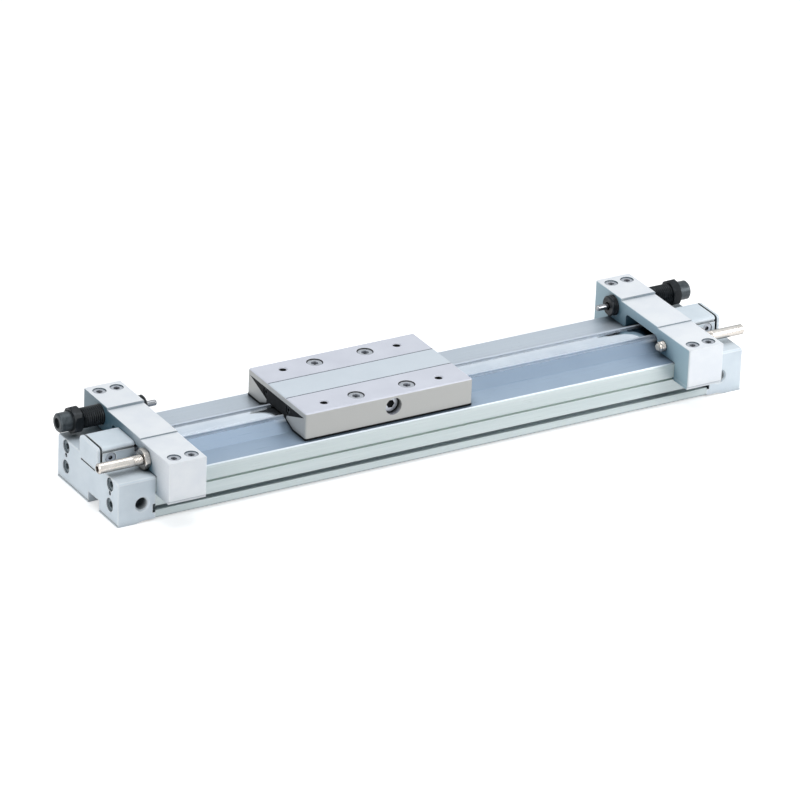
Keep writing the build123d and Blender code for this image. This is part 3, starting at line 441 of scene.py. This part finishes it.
def turned(name, rings, place, slot, body, columns=48, ring_shaped=False):
    """A piece turned about local X: rings of points, each at its place along and its radius.

    A radius is a number, or a function of the angle and the place along the axis.
    A ring-shaped piece is open along its axis, and its last ring joins its first.
    """
    mesh = bmesh.new()
    rows = []
    for along, radius in rings:
        row = []
        for i in range(columns):
            angle = 2 * math.pi * i / columns
            r = radius(angle, along) if callable(radius) else radius
            point = Vector((along, r * math.cos(angle), r * math.sin(angle)))
            row.append(mesh.verts.new(place @ point))
        rows.append(row)
    pairs = list(zip(rows, rows[1:]))
    if ring_shaped:
        pairs.append((rows[-1], rows[0]))
    else:
        mesh.faces.new(rows[0])
        mesh.faces.new(rows[-1])
    join_rows(mesh, pairs)
    return add_piece(mesh, name, slot, body)


def hexagon(flats):
    """The radius of a hexagon's outline, by the angle, with a flat at the top."""
    sixth = math.pi / 3

    def radius(angle, along):
        return flats / 2 / math.cos(angle % sixth - sixth / 2)

    return radius


def thread_rings(crest, root, pitch, start, stop):
    """The rings of a helical thread that fades in and out over one pitch at its ends."""
    rings_per_turn = 6

    def radius(angle, along):
        phase = (along / pitch - angle / (2 * math.pi)) % 1
        fade = max(0.0, min(1.0, (along - start) / pitch, (stop - along) / pitch))
        return crest - (crest - root) * fade * abs(2 * phase - 1)

    count = round((stop - start) / pitch * rings_per_turn)
    return [(start + (stop - start) * i / count, radius) for i in range(count + 1)]


def along_stroke(node, outward):
    """The place, length and radius of a node as a turned piece, with local X running outward."""
    low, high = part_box(node)
    centre = (low + high) / 2
    inner = low.x if outward > 0 else high.x
    turn = Matrix() if outward > 0 else Matrix.Rotation(math.pi, 4, "Z")
    place = Matrix.Translation((inner, centre.y, centre.z)) @ turn
    return place, high.x - low.x, (high.y - low.y) / 2


def shock_body(end, outward):
    """The absorber's tube with its full-length fine thread and the seat of its rod."""
    node = "shock_body_" + end
    place, length, crest = along_stroke(node, outward)
    pitch, thread_depth = 1.5 * MM, 0.75 * MM
    front_edge, back_edge = 0.8 * MM, 0.4 * MM
    seat, seat_edge, seat_depth, centre = 2.6 * MM, 0.3 * MM, 2.0 * MM, 0.4 * MM
    rings = [(seat_depth, centre), (seat_depth, seat), (0, seat + seat_edge)]
    rings += [(0, crest - front_edge)]
    rings += thread_rings(crest, crest - thread_depth, pitch, front_edge, length - back_edge)
    rings += [(length, crest - back_edge), (length, centre)]
    piece = turned("shock_tube_" + end, rings, place, "black_steel", "barrel", columns=64)
    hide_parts(node)


def adjust_bolt(end, outward):
    """The stop bolt: the bumper's pocket, the thread through holder and nut, and a socket."""
    node = "adjust_bolt_" + end
    place, length, crest = along_stroke(node, outward)
    pitch, thread_depth, thread_end, run_out = 1.0 * MM, 0.5 * MM, 42 * MM, 0.3 * MM
    pocket, pocket_depth, edge, centre = 2.3 * MM, 1.4 * MM, 0.8 * MM, 0.3 * MM
    socket, socket_floor = hexagon(4.0 * MM), length - 4.0 * MM
    rings = [(pocket_depth, centre), (pocket_depth, pocket), (0, pocket), (0, crest - edge)]
    rings += thread_rings(crest, crest - thread_depth, pitch, edge, thread_end)
    rings += [(thread_end + run_out, crest), (length - edge, crest), (length, crest - edge)]
    rings += [(length, socket), (socket_floor, socket), (socket_floor, centre)]
    piece = turned("stop_bolt_" + end, rings, place, "bolt_steel", "adjust_bolt_" + end)
    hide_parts(node)


def side_plug(name, side):
    """The plug deep in the table's side, with a black disc in its socket as painted shade."""
    low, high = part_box("side_plugs")
    leg_inside = 33.0 * MM
    foot = Vector(((low.x + high.x) / 2, side * leg_inside, (low.z + high.z) / 2))
    place = Matrix.Translation(foot) @ Matrix.Rotation(side * math.pi / 2, 4, "Z")
    radius, face, edge = (high.z - low.z) / 2, 1.6 * MM, 0.3 * MM
    socket, floor, centre = hexagon(5.2 * MM), 0.3 * MM, 0.3 * MM
    shade_disc_radius, shade_disc_top = 2.5 * MM, 0.6 * MM
    rings = [(0, centre), (0, radius), (face - edge, radius), (face, radius - edge)]
    rings += [(face, socket), (floor, socket), (floor, centre)]
    plug = turned("side_plug_" + name, rings, place, "screw_steel", "carriage")
    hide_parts("side_plugs")
    # A black disc on the socket's floor stands for the shade in it: painted shade
    shade_disc = [(floor, centre), (floor, shade_disc_radius), (shade_disc_top, shade_disc_radius), (shade_disc_top, centre)]
    turned("side_plug_shade_disc_" + name, shade_disc, place, "rubber_seal", "carriage")


def port_thread(end):
    """The thread on the wall of an air port: a thin sleeve whose inside carries the helix."""
    low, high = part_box("port_plug_" + end)
    mouth = Vector(((low.x + high.x) / 2, -high.y, (low.z + high.z) / 2))
    inward = Matrix.Translation(mouth) @ Matrix.Rotation(math.pi / 2, 4, "Z")
    hole, depth, pitch = (high.z - low.z) / 2, 7.4 * MM, 0.9 * MM
    valley, crest, back = hole - 0.05 * MM, hole - 0.45 * pitch, hole - 0.01 * MM
    rings = thread_rings(valley, crest, pitch, 0, depth) + [(depth, back), (0, back)]
    turned("port_thread_" + end, rings, inward, "cover", "barrel", columns=40, ring_shaped=True)


def swept_strip(name, line, half_width, thickness, slot):
    """A flat strip with rounded edges that follows a line in X and Z."""
    edge = thickness / 3
    flat, half = half_width - edge, thickness / 2
    outline = [(-flat, half), (flat, half), (half_width, half - edge), (half_width, edge - half)]
    outline += [(flat, -half), (-flat, -half)]
    outline += [(-half_width, edge - half), (-half_width, half - edge)]
    mesh = bmesh.new()
    rows = [[mesh.verts.new((x, y, z + up)) for y, up in outline] for x, z in line]
    mesh.faces.new(rows[0])
    mesh.faces.new(rows[-1])
    join_rows(mesh, zip(rows, rows[1:]))
    return add_piece(mesh, name, slot, sharp=60)


def travelling_strip(node, thickness, lift, flat, ramp):
    """A strip in three pieces: two runs in their seat, and the part that the carriage moves."""
    low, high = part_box(node)
    level = low.z + thickness / 2 if lift > 0 else high.z - thickness / 2
    table_low, table_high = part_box("slide_table")
    centre = (table_low.x + table_high.x) / 2
    left, right = centre - flat / 2 - ramp, centre + flat / 2 + ramp
    half_width = (high.y - low.y) / 2
    steps = 20
    rise = []
    for i in range(steps + 1):
        rise.append((left + ramp * i / steps, math.sin(math.pi * i / steps / 2) ** 2))
    fall = [(2 * centre - x, share) for x, share in reversed(rise)]
    hump = [(x, level + lift * share) for x, share in rise + fall]
    over = swept_strip(node + "_at_carriage", hump, half_width, thickness, "band_steel")
    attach(over, "carriage")
    for end, x, foot in (("left", low.x, left), ("right", high.x, right)):
        line = [(x, level), (foot, level)]
        run = swept_strip(node + "_run_" + end, line, half_width, thickness, "band_steel")
        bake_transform(run)
        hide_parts(node)


for end, outward in (("left", -1), ("right", 1)):
    shock_body(end, outward)
    adjust_bolt(end, outward)
    port_thread(end)
side_plug("near", -1)
side_plug("far", 1)
travelling_strip("dust_band", thickness=0.5 * MM, lift=6.0 * MM, flat=40 * MM, ramp=26 * MM)
travelling_strip("seal_belt", thickness=1.0 * MM, lift=-4.0 * MM, flat=36 * MM, ramp=16 * MM)


# Floor, light and camera
def seen_strength(tree, unseen, seen):
    """A strength for rays from the eye, direct or by way of a shine, and another for the rest."""
    nodes, links = tree.nodes, tree.links
    path = nodes.new("ShaderNodeLightPath")
    seen_share = path.outputs["Is Camera Ray"]
    for ray in ("Is Glossy Ray", "Is Transmission Ray"):
        larger = nodes.new("ShaderNodeMath")
        larger.operation = "MAXIMUM"
        links.new(seen_share, larger.inputs[0])
        links.new(path.outputs[ray], larger.inputs[1])
        seen_share = larger.outputs[0]
    strength = nodes.new("ShaderNodeMapRange")
    strength.inputs["To Min"].default_value = unseen
    strength.inputs["To Max"].default_value = seen
    links.new(seen_share, strength.inputs["Value"])
    return strength.outputs[0]


def make_world():
    """A white backdrop for the eye, and a plain cool light level for the rest."""
    world = bpy.data.worlds.new("studio")
    world.use_nodes = True
    tree = world.node_tree
    background = tree.nodes["Background"]
    background.inputs["Color"].default_value = (0.92, 0.97, 1, 1)
    strength = seen_strength(tree, unseen=0.36, seen=1.0)
    tree.links.new(strength, background.inputs["Strength"])
    bpy.context.scene.world = world


def make_floor():
    bpy.ops.mesh.primitive_plane_add(size=8, location=(0, 0, cad_low.z))
    floor = bpy.context.object
    floor.name = "studio_floor"
    material = bpy.data.materials.new("pale_floor")
    material.use_nodes = True
    tree = material.node_tree
    shader = tree.nodes["Principled BSDF"]
    shader.inputs["Base Color"].default_value = (0.9, 0.9, 0.9, 1)
    shader.inputs["Roughness"].default_value = 0.9
    shader.inputs["Emission Color"].default_value = (1, 1, 1, 1)
    strength = seen_strength(tree, unseen=0.0, seen=0.45)
    tree.links.new(strength, shader.inputs["Emission Strength"])
    floor.data.materials.append(material)


def soft_light(name, place, size, power, target=(0, 0, 0.02)):
    lamp = bpy.data.lights.new(name, "AREA")
    lamp.size = size
    lamp.energy = power
    holder = bpy.data.objects.new(name, lamp)
    bpy.context.scene.collection.objects.link(holder)
    holder.location = place
    aim = Vector(target) - Vector(place)
    holder.rotation_euler = aim.to_track_quat("-Z", "Y").to_euler()


def make_camera():
    """The photograph's view: a long lens, from the left, above and in front."""
    place = Vector((-1.8369, -3.0522, 1.7359))
    yaw, pitch, roll = math.radians(30.97), math.radians(25.68), math.radians(2.32)
    level = Vector((math.sin(yaw), math.cos(yaw), 0))
    forward = math.cos(pitch) * level + Vector((0, 0, -math.sin(pitch)))
    right = Vector((math.cos(yaw), -math.sin(yaw), 0))
    up = right.cross(forward)
    rolled_right = math.cos(roll) * right + math.sin(roll) * up
    rolled_up = -math.sin(roll) * right + math.cos(roll) * up
    lens = bpy.data.cameras.new("photo_camera")
    lens.sensor_width = 36
    lens.lens = 270
    lens.clip_start = 0.1
    lens.clip_end = 50
    camera = bpy.data.objects.new("photo_camera", lens)
    bpy.context.scene.collection.objects.link(camera)
    turn = Matrix((rolled_right, rolled_up, -forward)).transposed().to_4x4()
    camera.matrix_world = Matrix.Translation(place) @ turn
    bpy.context.scene.camera = camera


make_world()
make_floor()
soft_light("overhead", (-0.05, 0.15, 1.3), size=1.0, power=7.6)
soft_light("key", (0.55, -0.5, 0.36), size=0.35, power=2.6)
soft_light("fill", (-0.75, -0.25, 0.3), size=0.4, power=1.3, target=(-0.2, 0, 0.02))
make_camera()
bpy.context.scene.view_settings.view_transform = "Standard"
